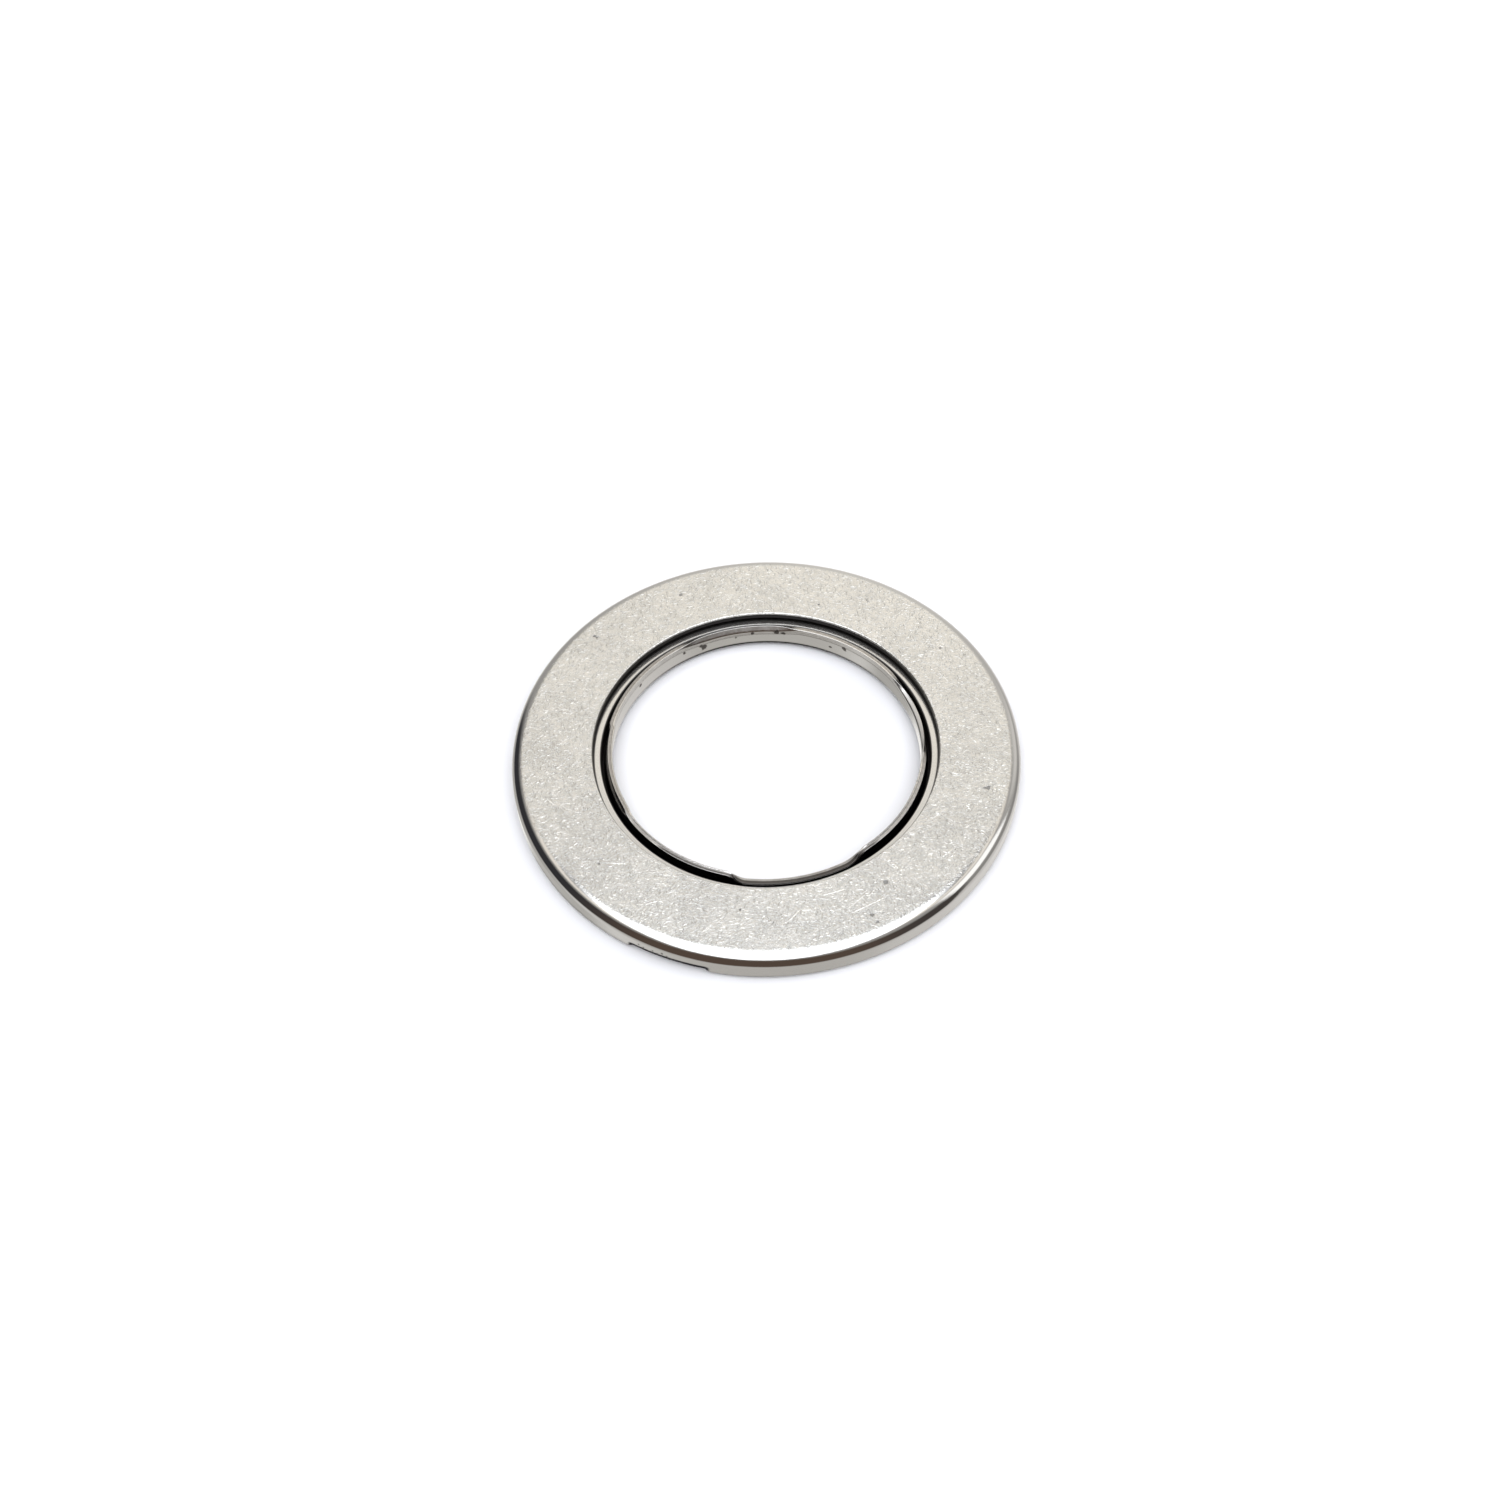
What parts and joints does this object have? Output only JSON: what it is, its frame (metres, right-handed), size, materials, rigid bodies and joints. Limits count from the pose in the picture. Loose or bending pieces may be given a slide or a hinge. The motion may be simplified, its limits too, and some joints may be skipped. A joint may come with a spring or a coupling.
{
  "type": "thrust needle roller bearing",
  "caption": "Thin enclosed thrust bearing: two pressed steel races, one with a bore flange and one with a rim lip, around caged needle rollers.",
  "frame": {"origin": "on the bearing's axis, in the plane of the lower race's flat underside", "axes": "+Z along the axis, from the lower race to the upper race; +X and +Y are radial"},
  "size_m": [0.064, 0.064, 0.0039],
  "materials": {
    "race_steel": "tumbled, hardened sheet steel, satin with fine random scratches and polished bends",
    "cage_steel": "drawn sheet steel, smooth with a polished rounded rim",
    "needle_steel": "ground and lapped bearing steel"
  },
  "bodies": {
    "lower_race": {"lower_race": "race_steel"},
    "upper_race": {"upper_race": "race_steel"},
    "cage": {"cage_upper_shell": "cage_steel", "cage_lower_shell": "cage_steel"},
    "needle_01": {"needle_01": "needle_steel"},
    "needle_02": {"needle_02": "needle_steel"},
    "needle_03": {"needle_03": "needle_steel"},
    "needle_04": {"needle_04": "needle_steel"},
    "needle_05": {"needle_05": "needle_steel"},
    "needle_06": {"needle_06": "needle_steel"},
    "needle_07": {"needle_07": "needle_steel"},
    "needle_08": {"needle_08": "needle_steel"},
    "needle_09": {"needle_09": "needle_steel"},
    "needle_10": {"needle_10": "needle_steel"},
    "needle_11": {"needle_11": "needle_steel"},
    "needle_12": {"needle_12": "needle_steel"},
    "needle_13": {"needle_13": "needle_steel"},
    "needle_14": {"needle_14": "needle_steel"},
    "needle_15": {"needle_15": "needle_steel"},
    "needle_16": {"needle_16": "needle_steel"},
    "needle_17": {"needle_17": "needle_steel"},
    "needle_18": {"needle_18": "needle_steel"},
    "needle_19": {"needle_19": "needle_steel"},
    "needle_20": {"needle_20": "needle_steel"},
    "needle_21": {"needle_21": "needle_steel"},
    "needle_22": {"needle_22": "needle_steel"},
    "needle_23": {"needle_23": "needle_steel"},
    "needle_24": {"needle_24": "needle_steel"},
    "needle_25": {"needle_25": "needle_steel"},
    "needle_26": {"needle_26": "needle_steel"},
    "needle_27": {"needle_27": "needle_steel"},
    "needle_28": {"needle_28": "needle_steel"},
    "needle_29": {"needle_29": "needle_steel"},
    "needle_30": {"needle_30": "needle_steel"},
    "needle_31": {"needle_31": "needle_steel"},
    "needle_32": {"needle_32": "needle_steel"},
    "needle_33": {"needle_33": "needle_steel"},
    "needle_34": {"needle_34": "needle_steel"},
    "needle_35": {"needle_35": "needle_steel"},
    "needle_36": {"needle_36": "needle_steel"}
  },
  "joints": [
    {"name": "upper_race_spin", "type": "hinge", "parent": "lower_race", "child": "upper_race", "pos_m": [0, 0, 0.003], "axis": [0, 0, 1], "continuous": true},
    {"name": "cage_spin", "type": "hinge", "parent": "lower_race", "child": "cage", "pos_m": [0, 0, 0.00195], "axis": [0, 0, 1], "continuous": true},
    {"name": "needle_01_spin", "type": "hinge", "parent": "cage", "child": "needle_01", "pos_m": [0.0259, 0, 0.00195], "axis": [1, 0, 0], "continuous": true},
    {"name": "needle_02_spin", "type": "hinge", "parent": "cage", "child": "needle_02", "pos_m": [0.02551, 0.0045, 0.00195], "axis": [0.9848, 0.1736, 0], "continuous": true},
    {"name": "needle_03_spin", "type": "hinge", "parent": "cage", "child": "needle_03", "pos_m": [0.02434, 0.00886, 0.00195], "axis": [0.9397, 0.342, 0], "continuous": true},
    {"name": "needle_04_spin", "type": "hinge", "parent": "cage", "child": "needle_04", "pos_m": [0.02243, 0.01295, 0.00195], "axis": [0.866, 0.5, 0], "continuous": true},
    {"name": "needle_05_spin", "type": "hinge", "parent": "cage", "child": "needle_05", "pos_m": [0.01984, 0.01665, 0.00195], "axis": [0.766, 0.6428, 0], "continuous": true},
    {"name": "needle_06_spin", "type": "hinge", "parent": "cage", "child": "needle_06", "pos_m": [0.01665, 0.01984, 0.00195], "axis": [0.6428, 0.766, 0], "continuous": true},
    {"name": "needle_07_spin", "type": "hinge", "parent": "cage", "child": "needle_07", "pos_m": [0.01295, 0.02243, 0.00195], "axis": [0.5, 0.866, 0], "continuous": true},
    {"name": "needle_08_spin", "type": "hinge", "parent": "cage", "child": "needle_08", "pos_m": [0.00886, 0.02434, 0.00195], "axis": [0.342, 0.9397, 0], "continuous": true},
    {"name": "needle_09_spin", "type": "hinge", "parent": "cage", "child": "needle_09", "pos_m": [0.0045, 0.02551, 0.00195], "axis": [0.1736, 0.9848, 0], "continuous": true},
    {"name": "needle_10_spin", "type": "hinge", "parent": "cage", "child": "needle_10", "pos_m": [0, 0.0259, 0.00195], "axis": [0, 1, 0], "continuous": true},
    {"name": "needle_11_spin", "type": "hinge", "parent": "cage", "child": "needle_11", "pos_m": [-0.0045, 0.02551, 0.00195], "axis": [-0.1736, 0.9848, 0], "continuous": true},
    {"name": "needle_12_spin", "type": "hinge", "parent": "cage", "child": "needle_12", "pos_m": [-0.00886, 0.02434, 0.00195], "axis": [-0.342, 0.9397, 0], "continuous": true},
    {"name": "needle_13_spin", "type": "hinge", "parent": "cage", "child": "needle_13", "pos_m": [-0.01295, 0.02243, 0.00195], "axis": [-0.5, 0.866, 0], "continuous": true},
    {"name": "needle_14_spin", "type": "hinge", "parent": "cage", "child": "needle_14", "pos_m": [-0.01665, 0.01984, 0.00195], "axis": [-0.6428, 0.766, 0], "continuous": true},
    {"name": "needle_15_spin", "type": "hinge", "parent": "cage", "child": "needle_15", "pos_m": [-0.01984, 0.01665, 0.00195], "axis": [-0.766, 0.6428, 0], "continuous": true},
    {"name": "needle_16_spin", "type": "hinge", "parent": "cage", "child": "needle_16", "pos_m": [-0.02243, 0.01295, 0.00195], "axis": [-0.866, 0.5, 0], "continuous": true},
    {"name": "needle_17_spin", "type": "hinge", "parent": "cage", "child": "needle_17", "pos_m": [-0.02434, 0.00886, 0.00195], "axis": [-0.9397, 0.342, 0], "continuous": true},
    {"name": "needle_18_spin", "type": "hinge", "parent": "cage", "child": "needle_18", "pos_m": [-0.02551, 0.0045, 0.00195], "axis": [-0.9848, 0.1736, 0], "continuous": true},
    {"name": "needle_19_spin", "type": "hinge", "parent": "cage", "child": "needle_19", "pos_m": [-0.0259, 0, 0.00195], "axis": [-1, 0, 0], "continuous": true},
    {"name": "needle_20_spin", "type": "hinge", "parent": "cage", "child": "needle_20", "pos_m": [-0.02551, -0.0045, 0.00195], "axis": [-0.9848, -0.1736, 0], "continuous": true},
    {"name": "needle_21_spin", "type": "hinge", "parent": "cage", "child": "needle_21", "pos_m": [-0.02434, -0.00886, 0.00195], "axis": [-0.9397, -0.342, 0], "continuous": true},
    {"name": "needle_22_spin", "type": "hinge", "parent": "cage", "child": "needle_22", "pos_m": [-0.02243, -0.01295, 0.00195], "axis": [-0.866, -0.5, 0], "continuous": true},
    {"name": "needle_23_spin", "type": "hinge", "parent": "cage", "child": "needle_23", "pos_m": [-0.01984, -0.01665, 0.00195], "axis": [-0.766, -0.6428, 0], "continuous": true},
    {"name": "needle_24_spin", "type": "hinge", "parent": "cage", "child": "needle_24", "pos_m": [-0.01665, -0.01984, 0.00195], "axis": [-0.6428, -0.766, 0], "continuous": true},
    {"name": "needle_25_spin", "type": "hinge", "parent": "cage", "child": "needle_25", "pos_m": [-0.01295, -0.02243, 0.00195], "axis": [-0.5, -0.866, 0], "continuous": true},
    {"name": "needle_26_spin", "type": "hinge", "parent": "cage", "child": "needle_26", "pos_m": [-0.00886, -0.02434, 0.00195], "axis": [-0.342, -0.9397, 0], "continuous": true},
    {"name": "needle_27_spin", "type": "hinge", "parent": "cage", "child": "needle_27", "pos_m": [-0.0045, -0.02551, 0.00195], "axis": [-0.1736, -0.9848, 0], "continuous": true},
    {"name": "needle_28_spin", "type": "hinge", "parent": "cage", "child": "needle_28", "pos_m": [0, -0.0259, 0.00195], "axis": [0, -1, 0], "continuous": true},
    {"name": "needle_29_spin", "type": "hinge", "parent": "cage", "child": "needle_29", "pos_m": [0.0045, -0.02551, 0.00195], "axis": [0.1736, -0.9848, 0], "continuous": true},
    {"name": "needle_30_spin", "type": "hinge", "parent": "cage", "child": "needle_30", "pos_m": [0.00886, -0.02434, 0.00195], "axis": [0.342, -0.9397, 0], "continuous": true},
    {"name": "needle_31_spin", "type": "hinge", "parent": "cage", "child": "needle_31", "pos_m": [0.01295, -0.02243, 0.00195], "axis": [0.5, -0.866, 0], "continuous": true},
    {"name": "needle_32_spin", "type": "hinge", "parent": "cage", "child": "needle_32", "pos_m": [0.01665, -0.01984, 0.00195], "axis": [0.6428, -0.766, 0], "continuous": true},
    {"name": "needle_33_spin", "type": "hinge", "parent": "cage", "child": "needle_33", "pos_m": [0.01984, -0.01665, 0.00195], "axis": [0.766, -0.6428, 0], "continuous": true},
    {"name": "needle_34_spin", "type": "hinge", "parent": "cage", "child": "needle_34", "pos_m": [0.02243, -0.01295, 0.00195], "axis": [0.866, -0.5, 0], "continuous": true},
    {"name": "needle_35_spin", "type": "hinge", "parent": "cage", "child": "needle_35", "pos_m": [0.02434, -0.00886, 0.00195], "axis": [0.9397, -0.342, 0], "continuous": true},
    {"name": "needle_36_spin", "type": "hinge", "parent": "cage", "child": "needle_36", "pos_m": [0.02551, -0.0045, 0.00195], "axis": [0.9848, -0.1736, 0], "continuous": true}
  ],
  "couplings": [
    {"joint": "cage_spin", "follows": "upper_race_spin", "ratio": 0.5},
    {"joint": "needle_01_spin", "follows": "upper_race_spin", "ratio": -12.95},
    {"joint": "needle_02_spin", "follows": "upper_race_spin", "ratio": -12.95},
    {"joint": "needle_03_spin", "follows": "upper_race_spin", "ratio": -12.95},
    {"joint": "needle_04_spin", "follows": "upper_race_spin", "ratio": -12.95},
    {"joint": "needle_05_spin", "follows": "upper_race_spin", "ratio": -12.95},
    {"joint": "needle_06_spin", "follows": "upper_race_spin", "ratio": -12.95},
    {"joint": "needle_07_spin", "follows": "upper_race_spin", "ratio": -12.95},
    {"joint": "needle_08_spin", "follows": "upper_race_spin", "ratio": -12.95},
    {"joint": "needle_09_spin", "follows": "upper_race_spin", "ratio": -12.95},
    {"joint": "needle_10_spin", "follows": "upper_race_spin", "ratio": -12.95},
    {"joint": "needle_11_spin", "follows": "upper_race_spin", "ratio": -12.95},
    {"joint": "needle_12_spin", "follows": "upper_race_spin", "ratio": -12.95},
    {"joint": "needle_13_spin", "follows": "upper_race_spin", "ratio": -12.95},
    {"joint": "needle_14_spin", "follows": "upper_race_spin", "ratio": -12.95},
    {"joint": "needle_15_spin", "follows": "upper_race_spin", "ratio": -12.95},
    {"joint": "needle_16_spin", "follows": "upper_race_spin", "ratio": -12.95},
    {"joint": "needle_17_spin", "follows": "upper_race_spin", "ratio": -12.95},
    {"joint": "needle_18_spin", "follows": "upper_race_spin", "ratio": -12.95},
    {"joint": "needle_19_spin", "follows": "upper_race_spin", "ratio": -12.95},
    {"joint": "needle_20_spin", "follows": "upper_race_spin", "ratio": -12.95},
    {"joint": "needle_21_spin", "follows": "upper_race_spin", "ratio": -12.95},
    {"joint": "needle_22_spin", "follows": "upper_race_spin", "ratio": -12.95},
    {"joint": "needle_23_spin", "follows": "upper_race_spin", "ratio": -12.95},
    {"joint": "needle_24_spin", "follows": "upper_race_spin", "ratio": -12.95},
    {"joint": "needle_25_spin", "follows": "upper_race_spin", "ratio": -12.95},
    {"joint": "needle_26_spin", "follows": "upper_race_spin", "ratio": -12.95},
    {"joint": "needle_27_spin", "follows": "upper_race_spin", "ratio": -12.95},
    {"joint": "needle_28_spin", "follows": "upper_race_spin", "ratio": -12.95},
    {"joint": "needle_29_spin", "follows": "upper_race_spin", "ratio": -12.95},
    {"joint": "needle_30_spin", "follows": "upper_race_spin", "ratio": -12.95},
    {"joint": "needle_31_spin", "follows": "upper_race_spin", "ratio": -12.95},
    {"joint": "needle_32_spin", "follows": "upper_race_spin", "ratio": -12.95},
    {"joint": "needle_33_spin", "follows": "upper_race_spin", "ratio": -12.95},
    {"joint": "needle_34_spin", "follows": "upper_race_spin", "ratio": -12.95},
    {"joint": "needle_35_spin", "follows": "upper_race_spin", "ratio": -12.95},
    {"joint": "needle_36_spin", "follows": "upper_race_spin", "ratio": -12.95}
  ]
}
